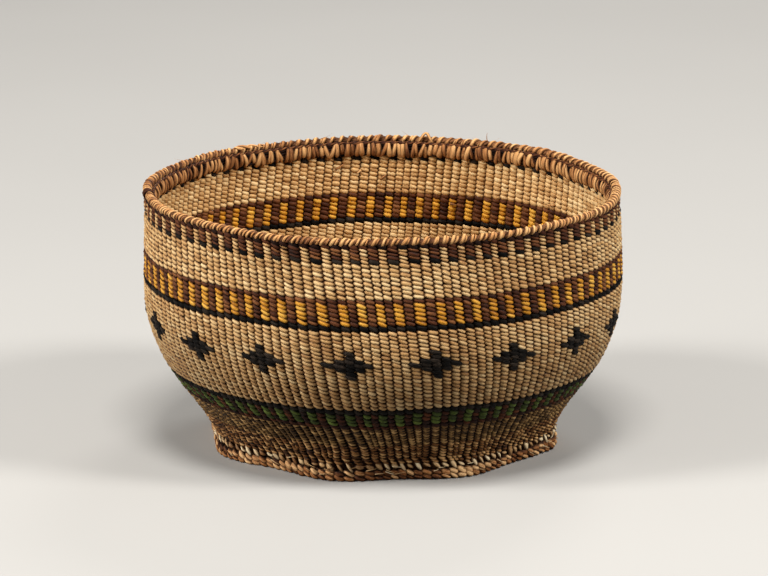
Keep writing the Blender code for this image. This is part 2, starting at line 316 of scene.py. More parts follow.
@cache
def rodShape(steps, sides):
    work = bmesh.new()
    stand = Matrix.Translation((0, 0, (steps - 1) / 2)) @ Matrix.Rotation(pi / 2, 4, "Z")
    bmesh.ops.create_cone(
        work, cap_ends=True, segments=sides, radius1=1.0, radius2=1.0, depth=steps - 1, matrix=stand
    )
    upright = [edge for edge in work.edges if abs(edge.verts[0].co.z - edge.verts[1].co.z) > 0.5]
    bmesh.ops.subdivide_edges(work, edges=upright, cuts=steps - 2)
    return shapeFrom(work, steps, sides, False)


def startPiece(values):
    # an empty mesh, chance numbers and the places along a short strand
    return bmesh.new(), default_rng(values["seed"]), np.linspace(0.0, 1.0, values["steps"])


def unit(vectors):
    return vectors / np.linalg.norm(vectors, axis=-1, keepdims=True)


def layStrand(work, middle, outward, wide, thick, unshaded, tone, edgeShading=1.0, ring=False, sides=strandSides):
    # bends a shape along the path. Wide and thick are half sizes, unshaded is how far it lies out of the gaps
    # between stitches and so out of the painted shade there, and edgeShading how dark the painted shade along
    # its edges gets.
    if ring:
        shape = ringShape(len(middle))
        ahead = unit(np.roll(middle, -1, axis=0) - np.roll(middle, 1, axis=0))
    else:
        shape = rodShape(len(middle), sides)
        ahead = unit(np.gradient(middle, axis=0))
    across = unit(np.cross(outward, ahead))
    out = np.cross(ahead, across)
    along = np.concatenate(([0.0], np.cumsum(np.linalg.norm(np.diff(middle, axis=0), axis=1))))
    step = shape["step"]
    amounts = (wide, thick, unshaded, tone, edgeShading)
    wide, thick, unshaded, tone, edgeShading = (np.broadcast_to(each, len(middle))[step] for each in amounts)
    cosine = np.cos(shape["turn"])
    sine = np.sin(shape["turn"])
    places = middle[step] + out[step] * (cosine * thick)[:, None] + across[step] * (sine * wide)[:, None]
    mesh = shape["mesh"]
    mesh.vertices.foreach_set("co", (places * mm).ravel())
    edge = sine / np.abs(sine).max() * edgeShading
    mark(mesh, (along[step], cosine * wide, sine * wide), (tone, unshaded, edge))
    work.from_mesh(mesh)


# Finishes. Spread, streak and patch move the colour by stitch, along the fibres and by place. Gap is the tint
# of the painted shade between stitches, edge the share of the colour that the painted shade leaves along
# their edges, and shadeBelow two heights in metres and the share left below them, a painted shade that
# darkens the colour towards the bottom of the wall.

plainFinish = {"gap": (0.10, 0.04, 0.015), "patch": 0.5, "roughness": (0.50, 0.78), "grain": 0.70}
finishes = {
    "grass": {
        "slot": "grass", "colours": ((146, 96, 50), (212, 167, 108), (246, 218, 166)),
        "spread": 0.34, "streak": 1.2, "gap": (0.12, 0.05, 0.02), "edge": 0.19,
        "roughness": (0.42, 0.70), "shine": 0.24, "grain": 0.75, "shadeBelow": (0.016, 0.046, 0.56),
    },
    "paleGrass": {
        "slot": "grass", "colours": ((138, 94, 54), (214, 174, 122), (252, 232, 192)),
        "spread": 0.80, "streak": 0.9, "gap": (0.08, 0.03, 0.01), "edge": 0.24,
        "roughness": (0.42, 0.70), "shine": 0.26,
    },
    # the foot's finishes are darker copies of the grass: partly real dirt, partly painted shade under the
    # overhanging belly
    "footGrassDirtAndShade": {
        "slot": "grass", "colours": ((52, 34, 14), (120, 88, 47), (208, 166, 108)),
        "spread": 0.60, "streak": 1.3, "patch": 0.6, "gap": (0.05, 0.02, 0.006), "edge": 0.11,
        "roughness": (0.48, 0.80), "shine": 0.20,
    },
    "footLowDirtAndShade": {
        "slot": "grass", "colours": ((50, 26, 9), (136, 88, 44), (228, 180, 120)),
        "spread": 0.70, "streak": 1.3, "gap": (0.04, 0.015, 0.005), "edge": 0.10,
        "roughness": (0.48, 0.80), "shine": 0.20,
    },
    "brown": {
        "slot": "brown_dyed", "colours": ((34, 13, 6), (88, 46, 22), (150, 98, 56)),
        "spread": 0.50, "streak": 1.2, "gap": (0.11, 0.04, 0.015), "edge": 0.18, "shine": 0.16,
        "shadeBelow": (0.016, 0.040, 0.45),
    },
    "darkBrown": {
        "slot": "brown_dyed", "colours": ((16, 6, 3), (46, 21, 11), (100, 57, 34)),
        "spread": 0.60, "streak": 1.1, "gap": (0.10, 0.04, 0.02), "edge": 0.20, "shine": 0.10,
    },
    "black": {
        "slot": "black_dyed", "colours": ((2, 1, 1), (8, 6, 5), (62, 52, 44)),
        "spread": 0.45, "streak": 1.8, "patch": 0.3, "gap": (0.20, 0.18, 0.16), "edge": 0.30,
        "shine": 0.07, "grain": 0.60,
    },
    "amber": {
        "slot": "amber_dyed", "colours": ((146, 84, 12), (208, 143, 34), (244, 194, 88)),
        "spread": 0.35, "streak": 1.1, "gap": (0.13, 0.05, 0.01), "edge": 0.20,
        "roughness": (0.42, 0.70), "shine": 0.24, "grain": 0.60,
    },
    "green": {
        "slot": "green_dyed", "colours": ((24, 30, 8), (60, 73, 24), (104, 121, 54)),
        "spread": 0.45, "streak": 1.1, "patch": 0.4, "gap": (0.09, 0.07, 0.03), "edge": 0.22,
        "roughness": (0.48, 0.76), "shine": 0.14, "grain": 0.60,
    },
    "bark": {
        "slot": "cedar", "colours": ((84, 48, 26), (160, 107, 64), (208, 156, 104)),
        "spread": 0.40, "streak": 1.0, "patch": 0.6, "gap": (0.12, 0.06, 0.03), "edge": 0.45,
        "roughness": (0.55, 0.82), "shine": 0.22,
    },
    "rimBark": {
        "slot": "cedar", "colours": ((98, 50, 24), (198, 138, 80), (240, 192, 130)),
        "spread": 0.60, "streak": 1.4, "patch": 0.6, "edge": 0.17,
        "roughness": (0.46, 0.76), "shine": 0.24, "grain": 0.80,
    },
    "foldBark": {
        "slot": "cedar", "colours": ((84, 42, 20), (176, 119, 68), (226, 177, 118)),
        "spread": 0.55, "streak": 1.5, "patch": 0.6, "edge": 0.14,
        "roughness": (0.50, 0.80), "shine": 0.18, "grain": 0.90,
    },
    "cordBark": {
        "slot": "cedar", "colours": ((70, 34, 14), (166, 107, 57), (244, 198, 142)),
        "spread": 0.70, "streak": 1.6, "patch": 0.7, "gap": (0.06, 0.02, 0.006), "edge": 0.12,
        "roughness": (0.50, 0.80), "shine": 0.20, "grain": 0.90,
    },
}
toneStops = (0.10, 0.48, 0.88)  # where the three colours stand


def paint(colour):
    # screen colour, 0 to 255, as Blender's linear one
    shares = np.array(colour) / 255
    linear = np.where(shares <= 0.04045, shares / 12.92, ((shares + 0.055) / 1.055) ** 2.4)
    return (*linear.tolist(), 1.0)


class Wire:
    # one output of a node, so that sums on it add Math nodes
    def __init__(self, board, socket):
        self.board = board
        self.socket = socket

    def maths(self, operation, *others):
        inputs = dict(enumerate((self, *others)))
        return self.board.node("ShaderNodeMath", {"operation": operation}, inputs)

    def __abs__(self):
        return self.maths("ABSOLUTE")


for method, operation in {"add": "ADD", "sub": "SUBTRACT", "mul": "MULTIPLY"}.items():
    setattr(Wire, f"__{method}__", lambda a, b, operation=operation: a.maths(operation, b))


class Board:
    # the node tree of one material
    def __init__(self, name):
        self.material = bpy.data.materials.new(name)
        self.material.use_nodes = True
        self.tree = self.material.node_tree
        self.shader = self.tree.nodes["Principled BSDF"]

    def node(self, kind, settings=None, inputs=None, output=0):
        made = self.tree.nodes.new(kind)
        for setting, value in (settings or {}).items():
            setattr(made, setting, value)
        for socket, value in (inputs or {}).items():
            self.feed(made.inputs[socket], value)
        return Wire(self, made.outputs[output])

    def feed(self, socket, value):
        if isinstance(value, Wire):
            self.tree.links.new(value.socket, socket)
        else:
            socket.default_value = value

    def mix(self, factor, first, second, blend="MIX"):
        settings = {"data_type": "RGBA", "blend_type": blend}
        return self.node("ShaderNodeMix", settings, {0: factor, 6: first, 7: second}, 2)

    def part(self, vector, letter):
        return self.node("ShaderNodeSeparateXYZ", {}, {0: vector}, letter)

    def noise(self, vector, scale, detail=3.0, roughness=0.55):
        inputs = {"Vector": vector, "Scale": scale, "Detail": detail, "Roughness": roughness}
        return self.node("ShaderNodeTexNoise", {}, inputs)

    def fit(self, value, fromLow, fromHigh, toLow, toHigh):
        inputs = {0: value, 1: fromLow, 2: fromHigh, 3: toLow, 4: toHigh}
        return self.node("ShaderNodeMapRange", {"clamp": True}, inputs)


bumpHeight = 0.00016  # metres


def strandFinish(name):
    look = {**plainFinish, **finishes[name]}
    board = Board(name + "_strand")
    space = board.node("ShaderNodeAttribute", {"attribute_name": "fibre"}, {}, "Vector")
    stitch = board.node("ShaderNodeAttribute", {"attribute_name": "stitch"}, {}, "Vector")
    tone, openness, side = (board.part(stitch, letter) for letter in "XYZ")
    place = board.node("ShaderNodeTexCoord", {}, {}, "Object")

    # each stitch has streaks of its own
    apart = board.node("ShaderNodeCombineXYZ", {}, {0: tone * 90.0, 1: tone * 37.0, 2: tone * 211.0})

    def streaked(stretch, detail, roughness):
        inputs = {0: space, 1: stretch, 2: apart}
        moved = board.node("ShaderNodeVectorMath", {"operation": "MULTIPLY_ADD"}, inputs)
        return board.noise(moved, 1.0, detail, roughness)

    streaks = streaked((0.40, 6.0, 6.0), 3.0, 0.6)
    flecks = streaked((2.2, 5.0, 5.0), 2.0, 0.5)
    patches = board.noise(place, 60.0, 2.0, 0.5)

    level = (tone - 0.5) * look["spread"] + (streaks - 0.5) * look["streak"]
    level = level + (patches - 0.5) * look["patch"]
    colour = board.node("ShaderNodeValToRGB", {}, {0: level + 0.5})
    stops = colour.socket.node.color_ramp.elements
    stops.new(1.0)
    for stop, position, shade in zip(stops, toneStops, look["colours"]):
        stop.position = position
        stop.color = paint(shade)
    # painted shade: the colour darkens towards the gap tint where the strand lies in the gaps between
    # stitches, and along its edges
    outOfGap = board.fit(openness, 0.50, 0.80, 0.0, 1.0)
    atEdge = board.fit(abs(side), 0.40, 1.0, 1.0, look["edge"])
    shadow = board.mix(outOfGap * atEdge, (*look["gap"], 1.0), (1.0, 1.0, 1.0, 1.0))
    colour = board.mix(1.0, colour, shadow, "MULTIPLY")
    # painted shade: the colour darkens towards the bottom of the wall, where it faces down and away from the
    # lamps
    if "shadeBelow" in look:
        low, high, shadedShare = look["shadeBelow"]
        left = board.fit(board.part(place, "Z"), low, high, shadedShare, 1.0)
        grey = board.node("ShaderNodeCombineColor", {}, {0: left, 1: left, 2: left})
        colour = board.mix(1.0, colour, grey, "MULTIPLY")
    board.feed(board.shader.inputs["Base Color"], colour)

    low, high = look["roughness"]
    board.feed(board.shader.inputs["Roughness"], board.fit(streaks, 0.3, 0.7, low, high))
    grain = {"Strength": look["grain"], "Distance": bumpHeight, "Height": streaks * 0.7 + flecks * 0.3}
    board.feed(board.shader.inputs["Normal"], board.node("ShaderNodeBump", {}, grain))
    board.shader.inputs["Specular IOR Level"].default_value = look["shine"]
    return board.material


strandMaterials = {name: strandFinish(name) for name in finishes}
print("finishes mixed")


# Pieces

def addObject(name, data):
    thing = bpy.data.objects.new(name, data)
    bpy.context.scene.collection.objects.link(thing)
    return thing


def dressPiece(mesh, name, finish, nodes=()):
    mesh.materials.append(strandMaterials[finish])
    mesh.shade_smooth()
    piece = addObject(name, mesh)
    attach(piece, "root")
    if nodes:
        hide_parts(*nodes)


def finishPiece(work, name, finish, nodes=()):
    dressPiece(meshFrom(work, name), name, finish, nodes)


# Weft rows

weft = {
    "swing": 0.92,  # from the middle of the stakes out to the middle of a stitch
    "thick": 0.42,  # half the thickness of a strand
    "thin": 0.62,  # what is left of it where the strand turns
    "blunt": 0.45,  # lower gives fuller stitches
    "taper": 1.6,
    "insideSlant": 0.8,  # the stitches lie flatter on the inside
    "insideBlunt": 0.62,  # and stand up as rounder ribs
    "insideFull": 1.14, "insideEdgeShading": 0.34,
    "insideUnshaded": 0.24,  # how much lighter the painted shade in the gaps is there
    "fatter": {("amber", "brown"): 0.06, ("darkBrown", "green"): -0.12, ("brown", "grass"): 0.14},
    "loose": 0.06, "looseSlant": 0.18, "looseSize": 0.09, "looseThick": 0.06,
}


def aroundStakes(height):
    # places round the stakes that have begun here, by stitch and by angle, and their number
    middles, begun, _ = stakeAngles(height)
    middles = middles[begun]
    u = (np.arange(len(middles))[:, None] + np.array(stitchSteps)).ravel()
    return u, alongStakes(u, middles), len(middles)


def twine(u, strand, count, seed):
    # one strand round the stakes: its swing out and in, its rise, and what differs by stitch
    number = np.rint(u).astype(int) % count
    rng = default_rng(seed * 2 + strand)
    swing = np.cos(pi * (u - strand))
    rise = np.sin(pi * (u - strand))
    return swing, rise, loosely(rng, (4, count))[:, number], rng.random(count)[number]


def blunted(swing, blunt):
    # a swing that stays longer at its ends, and how near it is to them
    firm = np.minimum(np.abs(swing), 1.0) ** blunt
    return np.sign(swing) * firm, firm


def layWeft(work, band, row, strand):
    slant, plump, point = band["weave"]
    wild = band.get("wild", 1.0)
    u, angle, count = aroundStakes(row["height"])
    swing, rise, loose, tone = twine(u, strand, count, row["seed"])
    fatter = weft["fatter"].get(band["strands"], 0.0)
    swing = swing + (fatter if strand == 0 else -fatter)
    inside = swing < 0
    reach, firm = blunted(swing, np.where(inside, weft["insideBlunt"], band.get("blunt", weft["blunt"])))
    slant = slant * np.where(inside, weft["insideSlant"], 1.0) * (1 + weft["looseSlant"] * wild * loose[3])

    slope = wallSlope(row["height"])
    length = hypot(1.0, slope)
    pitch = row["tall"] * length
    stray = weft["loose"] * wild
    level = row["height"] - (wall["middleDepth"] - weft["swing"]) * slope / length
    height = level + (stray * loose[0] * firm - slant * pitch * rise) / length
    depth = wall["middleDepth"] - (weft["swing"] + stray * loose[1]) * reach
    full = plump * upFrom(point, firm ** weft["taper"]) * (1 + weft["looseSize"] * wild * loose[2])
    full = full * np.where(inside, weft["insideFull"], 1.0)
    # the stitches get painted shade where they turn into the gaps between stitches, and along their edges
    layStrand(
        work, *onWall(angle, height, depth), ring=True, wide=pitch * 0.5 / cos(pi / strandSides) * full,
        thick=weft["thick"] * upFrom(weft["thin"], firm) * (1 + weft["looseThick"] * loose[2]),
        unshaded=firm + np.where(inside, weft["insideUnshaded"], 0.0) * (1 - firm), tone=tone,
        edgeShading=np.where(inside, weft["insideEdgeShading"], 1.0),
    )


def weftPiece(name, band, rows, strands, finish, nodes=()):
    work = bmesh.new()
    for row in rows:
        for strand in strands:
            layWeft(work, band, row, strand)
    finishPiece(work, name, finish, nodes)


# Bands that aren't just one piece for each finish. A piece is the ending of its name, its first row, the
# row after its last, its finish, its strands and what differs.

bandPieces = {
    "foot_wall": [
        ("pale_row", 0, 1, "paleGrass", (0, 1), {"weave": (0.55, 0.76, 0.30), "wild": 2.6}),
        ("lower", 1, 8, "footLowDirtAndShade", (0, 1), {}),
        ("upper", 8, 15, "footGrassDirtAndShade", (0, 1), {}),
    ],
    "field": [(f"grass_{i + 1}", 7 * i, 7 * i + 7, "grass", (0, 1), {}) for i in range(3)],
    "check_band": [
        ("ticks", 0, 1, "black", (0,), {"weave": (0.30, 1.25, 0.80)}),
        ("brown", 1, 4, "brown", (0,), {}),
        ("grass", 0, 4, "grass", (1,), {}),
    ],
}


for name, band in bands.items():
    nodes = [name + "_weft"] + band.get("inner", [])
    pieces = bandPieces.get(name) or [
        (finish, 0, band["rows"], finish, [i for i in (0, 1) if band["strands"][i] == finish], {})
        for finish in dict.fromkeys(band["strands"])
    ]
    for ending, first, end, finish, strands, changes in pieces:
        weftPiece(f"{name}_{ending}", {**band, **changes}, band["laid"][first:end], strands, finish, nodes)
    print("woven:", name)


# Crosses: black stitches laid over the outside of the field

cross = {
    "columnRows": [1, 3, 7, 3, 1], "middleRow": 11,
    "reach": [0.80, 0.66, 0.62, 0.66, 0.80],  # half the length of a stitch, in stakes
    "tall": 0.58,  # half its width, in rows
    "proud": 0.16,
    "tuck": 0.34,  # its ends lie this much deeper
    "slant": 0.56, "stouter": 1.12, "taper": [0.16, 0.70, 1.0, 1.04, 1.0, 0.70, 0.16],
    "looseSize": 0.06, "looseSlip": 0.05, "seed": 9,
}


def layCrosses():
    rng = default_rng(cross["seed"])
    half = len(cross["columnRows"]) // 2
    taper = np.array(cross["taper"])
    share = np.linspace(-1.0, 1.0, len(taper))
    depth = wall["middleDepth"] - weft["swing"] - cross["proud"] + cross["tuck"] * share ** 4
    for name, carrier in zip(crossNames, crossStakes):
        work = bmesh.new()
        for column, rows in enumerate(cross["columnRows"]):
            stake = (carrier + column - half) % stakes["count"]
            lowest = cross["middleRow"] - rows // 2
            for row in bands["field"]["laid"][lowest:lowest + rows]:
                loose = loosely(rng, 4)
                stretched = share * cross["reach"][column] * (1 + cross["looseSize"] * loose[3])
                u = stretched + cross["looseSlip"] * loose[2]
                level = row["height"] + (cross["looseSlip"] * loose[0] - cross["slant"] * u) * row["tall"]
                angle = alongStakes(stake + u, stakeAngles(row["height"])[0])
                size = cross["stouter"] * taper * (1 + cross["looseSize"] * loose[1])
                # painted shade at the tucked ends of each cross stitch
                layStrand(
                    work, *onWall(angle, level, depth),
                    wide=row["tall"] * cross["tall"] * size, thick=weft["thick"] * size,
                    unshaded=upFrom(0.70, taper), tone=rng.random(),
                )
        finishPiece(work, name + "_stitches", "black", [name])
    print("crosses laid")


layCrosses()


# Stakes: flat bark splints inside the weft

splint = {
    "steps": 26, "sides": 4, "fill": 1.05, "thick": 0.24, "overlap": 0.06,
    "narrowest": 0.004,  # radians of a stake that hasn't begun
    "levels": 60,  # heights at which the stakes are looked up
    "seed": 21,
}


def standStakes():
    work, rng, share = startPiece(splint)
    low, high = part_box("stakes")
    bottom, top = low[2] / mm, high[2] / mm
    levels = np.linspace(bottom, top, splint["levels"])
    angles, _, halves = (np.array(each) for each in zip(*map(stakeAngles, levels)))
    for i, lowest in enumerate(np.maximum(bottom, stakeStart)):
        height = lowest + (top - lowest) * share
        angle = np.interp(height, levels, angles[:, i])
        half = np.maximum(np.interp(height, levels, halves[:, i]), splint["narrowest"])
        # the splints show only in the gaps, so a low share out of them darkens them with painted shade
        layStrand(
            work, *onWall(angle, height, wall["middleDepth"] + splint["overlap"] * (i % 2)),
            wide=half * wallRadius(height) * splint["fill"], thick=splint["thick"], unshaded=0.55,
            tone=rng.random(), sides=splint["sides"],
        )
    finishPiece(work, "stake_splints", "bark", ["stakes"])
    print("stakes stood")


standStakes()


# Rim: a two-strand rope with finer strands wrapped round it, and the ends of the stakes folded down inside

rim = {
    "height": 67.85,
    "flat": 1.14,  # the cord is this much wider than tall
    "wraps": 308, "wrapStrands": 2, "wrapSteps": 12, "wrapReach": 0.71, "wrapWide": 0.44, "wrapThick": 0.34,
    "stouter": 0.15,  # every second wrap is this much stouter, stands out and lies close to the next
    "standOut": 0.06, "closer": 0.07,
    "bunch": 0.24,  # how far it slips towards its neighbour on the inside
    "slips": (0.0, 0.20, -0.40, 0.40),  # middle, spread and limits
    "sizes": (1.0, 0.22, 0.60, 1.50), "reaches": (0.0, 0.09, -0.16, 0.20),
    "paleFrom": radians(-78.0),  # from here to there darker wraps are pale too
    "paleTo": radians(8.0), "paleFade": 0.3, "paler": 0.52,
    "underRow": {"height": 66.7, "tall": 1.3, "seed": 4001}, "looseTwist": 0.08,
    "twistSeed": 31, "wrapSeed": 32,
}
rimLow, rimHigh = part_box("rim_edge_cord")
rim["radius"] = rimHigh[0] / mm - (rimHigh[2] - rimLow[2]) / 2 / mm
rim["depth"] = wallRadius(rim["height"]) - rim["radius"]


def aroundRim(angle, turn, reach, height=rim["height"], depth=rim["depth"]):
    # a point at this reach from a line round the rim, and the way out from there
    level = np.full(len(angle), height)
    across = outOfWall(angle, level) * np.cos(turn)[:, None]
    upward = np.array([0.0, 0.0, 1.0]) * np.sin(turn)[:, None]
    offset = (across * rim["flat"] + upward) * np.broadcast_to(reach, turn.shape)[:, None]
    return onWall(angle, level, depth)[0] + offset, across + upward


# Two strands twisted along every line, a height and a depth or else the middle of the rim

twistedPairs = {
    "rim_rope": {"finish": "bark", "reach": 0.38, "thick": 0.53, "lines": [()], "nodes": ["rim_edge_cord"]},
    "rim_inner_line": {
        "finish": "brown", "reach": 0.18, "thick": 0.30, "lines": [(67.05, 2.55)], "paler": 1,
    },
    # painted shade: dark strands standing in for the shade behind the folded stake ends
    "rim_shade_lines_behind_folds": {
        "finish": "darkBrown", "reach": 0.10, "thick": 0.47,
        "lines": [(64.0, 2.4), (64.8, 2.4), (65.6, 2.4), (66.4, 2.4)],
    },
}


def twistPairs(name, finish, reach, thick, lines, nodes=(), paler=0.0):
    rng = default_rng(rim["twistSeed"])
    work = bmesh.new()
    u, angle, count = aroundStakes(rimLow[2] / mm)
    number = np.rint(u).astype(int) % count
    for line in lines:
        for strand in (0, 1):
            loose = loosely(rng, (2, count))[:, number]
            # painted shade: the strands are darkened in part, as they lie under the wraps and the folds
            layStrand(
                work, *aroundRim(angle, pi * (u + strand), reach, *line), ring=True,
                wide=thick * (1 + rim["looseTwist"] * loose[0]),
                thick=thick * (1 + rim["looseTwist"] * loose[1]), unshaded=0.66 + 0.3 * paler,
                tone=rng.random(count)[number] * 0.7 + 0.3 * paler,
            )
    finishPiece(work, name, finish, nodes)


def wrapRim():
    rng = default_rng(rim["wrapSeed"])
    work = bmesh.new()
    wraps = rim["wraps"]
    strands = rim["wrapStrands"]
    second = np.where(np.arange(wraps) % 2 == 0, 1.0, -1.0)
    uneven = []
    for kind, more in (("slips", "closer"), ("sizes", "stouter"), ("reaches", "standOut")):
        middle, spread, low, high = rim[kind]
        uneven.append(rng.normal(middle, spread, wraps).clip(low, high) + rim[more] * second)
    tones = rng.random(wraps) * 0.8 + 0.1 * (1 + second)
    around = (np.arange(wraps) / wraps * fullTurn + pi) % fullTurn - pi
    start, end, fade = rim["paleFrom"], rim["paleTo"], rim["paleFade"]
    pale = np.interp(around, [start - fade, start, end, end + fade], [0, 1, 1, 0])
    tones = tones + rim["paler"] * pale * (1.0 - tones)
    steps = wraps // strands * rim["wrapSteps"]
    turns = np.arange(steps) / rim["wrapSteps"]
    share = turns - np.floor(turns)
    blend = share * share * (3 - 2 * share)
    turn = fullTurn * turns - pi
    inside = 0.5 - 0.5 * np.cos(turn)
    for strand in range(strands):
        number = (np.floor(turns).astype(int) * strands + strand) % wraps
        following = (number + strands) % wraps
        slip, size, reach = (each[number] * (1 - blend) + each[following] * blend for each in uneven)
        place = turns * strands + strand + slip + rim["bunch"] * inside * second[number]
        # painted shade on the inner side of each wrap
        layStrand(
            work, *aroundRim(place / wraps * fullTurn, turn, rim["wrapReach"] + reach), ring=True,
            wide=rim["wrapWide"] * size, thick=rim["wrapThick"] * size,
            unshaded=upFrom(0.74, np.sin(pi * share)), tone=tones[number],
        )
    finishPiece(work, "rim_wrapping", "rimBark")
    print("rim wrapped")


def underRimRow():
    # one dark row below the edge cord
    band = {"strands": ("darkBrown", "darkBrown"), "weave": (0.30, 1.0, 0.6)}
    weftPiece("rim_under_row", band, [rim["underRow"]], [0, 1], "darkBrown")


fold = {
    "count": 268, "steps": 9, "top": 67.3, "bottom": 63.5,
    "ragged": 0.28,  # how uneven the lower ends are
    "depth": 1.95, "bulge": 1.15, "looseBulge": 0.20,
    "kick": 0.25,  # how far the lower ends stand off
    "wide": 0.93, "looseWide": 0.16, "thick": 0.36,
    "leaf": 0.66,  # how much narrower one end may be than the other
    "leafRange": (-0.35, 1.0),
    "rounded": [0.55, 0.95, 1.0, 0.60],  # the width from the top down
    # the ends of each fold get painted shade at the top and the bottom
    "unshaded": [0.60, 1.0, 1.0, 0.70], "skip": 0.01,
    "lean": 0.16,  # of a stake, so that two and two lean together
    "stray": 0.20, "slip": 0.12, "seed": 33,
}


def foldEnds():
    work, rng, share = startPiece(fold)
    bulge = np.sin(pi * np.clip(share * 0.92 + 0.04, 0, 1)) ** 0.6
    rounded = np.interp(share, [0, 0.12, 0.85, 1.0], fold["rounded"])
    unshaded = np.interp(share, [0, 0.15, 0.85, 1.0], fold["unshaded"])
    rimStakes = stakeAngles(rimLow[2] / mm)[0]
    for i in range(fold["count"]):
        loose = loosely(rng, 6)
        tone = rng.random()
        leaf = fold["leaf"] * rng.uniform(*fold["leafRange"])
        if rng.random() < fold["skip"]:
            continue
        side = 1 if i % 2 == 0 else -1
        width = rounded * (1 - abs(leaf) * (1 - share if leaf > 0 else share))
        spread = (side * fold["lean"] + fold["stray"] * loose[1]) * (1 - 1.4 * share)
        u = (i + fold["slip"] * loose[0]) / fold["count"] * stakes["count"] + spread
        bottom = fold["bottom"] + fold["ragged"] * loose[2]
        height = fold["top"] + (bottom - fold["top"]) * share
        bulged = (fold["bulge"] + fold["looseBulge"] * loose[3]) * bulge
        depth = fold["depth"] + bulged + fold["kick"] * share
        angle = rimStakes[0] + np.unwrap(alongStakes(u % stakes["count"], rimStakes) - rimStakes[0])
        layStrand(
            work, *onWall(angle, height, depth, -1),
            wide=fold["wide"] * width * (1 + fold["looseWide"] * loose[4]),
            thick=fold["thick"] * upFrom(0.6, width), unshaded=unshaded, tone=tone,
        )
    finishPiece(work, "rim_folded_stake_ends", "foldBark", ["rim_folded_ends"])
    print("stake ends folded")


# Small uneven things. A span is in millimetres along the rim.

lashing = {"angle": radians(-172.3), "turns": 3.4, "span": 2.6, "reach": 1.12, "wide": 0.50, "thick": 0.28}
loop = {
    "angle": radians(78.6), "span": 4.2, "reach": 1.10, "rise": 1.1, "wide": 0.46, "thick": 0.30,
    "steps": 16, "inner": radians(205.0), "sweep": radians(95.0),
}
cordEnd = {
    "angle": radians(131.5), "span": 11.0, "reach": 0.95, "drop": 0.45, "twist": 0.22, "twists": 3.2,
    "wide": 0.66, "thick": 0.52, "steps": 12, "sizes": [0.45, 0.85, 1.0, 0.80, 0.30],
}
rimFibres = {"count": 26, "length": 3.2, "thick": 0.055, "reach": 0.9, "lift": 0.5, "steps": 7, "seed": 41}
standing = {"angle": radians(62.0), "length": 2.4, "thick": 0.13, "base": 0.8, "bend": 0.006}
footFibres = {"count": 90, "length": 3.0, "thick": 0.13, "low": 1.6, "high": 4.8, "steps": 6, "seed": 43}


def lashRim():
    share = np.linspace(0.0, 1.0, int(lashing["turns"] * 10))
    angle = lashing["angle"] + lashing["span"] * (share - 0.5) / rim["radius"]
    work = bmesh.new()
    for strand in (0, 1):
        turn = fullTurn * (lashing["turns"] * share + strand / 2)
        layStrand(
            work, *aroundRim(angle, turn, lashing["reach"]),
            wide=lashing["wide"], thick=lashing["thick"], unshaded=0.85, tone=0.60,
        )
    finishPiece(work, "rim_lashing", "darkBrown")


def raiseLoop():
    share = np.linspace(0.0, 1.0, loop["steps"])
    arch = np.sin(pi * share)
    angle = loop["angle"] + loop["span"] * (share - 0.5) / rim["radius"]
    reach = loop["reach"] + loop["rise"] * arch ** 2
    work = bmesh.new()
    layStrand(
        work, *aroundRim(angle, loop["inner"] - loop["sweep"] * arch, reach),
        wide=loop["wide"] * upFrom(0.7, arch), thick=loop["thick"], unshaded=0.95, tone=0.7,
    )
    finishPiece(work, "rim_loose_loop", "rimBark")


def endCord():
    # the end of the edge cord, laid over its beginning
    share = np.linspace(0.0, 1.0, cordEnd["steps"])
    size = np.interp(share, [0, 0.08, 0.2, 0.6, 1.0], cordEnd["sizes"])
    angle = cordEnd["angle"] - cordEnd["span"] * share / rim["radius"]
    work = bmesh.new()
    for strand in (0, 1):
        twist = pi * (cordEnd["twists"] * share + strand)
        turn = radians(112.0) + 0.5 * np.sin(twist)
        reach = cordEnd["reach"] + cordEnd["twist"] * np.cos(twist) - cordEnd["drop"] * share
        layStrand(
            work, *aroundRim(angle, turn, reach),
            wide=cordEnd["wide"] * size, thick=cordEnd["thick"] * size,
            unshaded=upFrom(0.72, size), tone=0.75 - 0.35 * strand,
        )
    finishPiece(work, "rim_cord_end", "rimBark")


def strayFibres():
    work, rng, share = startPiece(rimFibres)
    for _ in range(rimFibres["count"]):
        length = rimFibres["length"] * (0.4 + rng.random())
        turn = rng.uniform(0.2, 3.0) + rng.normal(0, 0.25) * share
        along = rng.choice((-1.0, 1.0)) * length * share * rng.uniform(0.5, 1.0) / rim["radius"]
        reach = rimFibres["reach"] + length * rimFibres["lift"] * share ** 1.5
        thick = rimFibres["thick"] * (1.1 - share)
        layStrand(
            work, *aroundRim(rng.uniform(0, fullTurn) + along, turn, reach),
            wide=thick, thick=thick, unshaded=1.0, tone=rng.random(), sides=4,
        )
    # one longer fibre stands up at the back
    length = standing["length"] * share
    angle = standing["angle"] + standing["bend"] * np.sin(2.4 * share)
    thick = standing["thick"] * (1.3 - share)
    layStrand(
        work, *onWall(angle, rim["height"] + standing["base"] + length, rim["depth"] - 0.2 * length),
        wide=thick, thick=thick, unshaded=1.0, tone=0.1, sides=4,
    )
    finishPiece(work, "rim_stray_fibres", "rimBark")


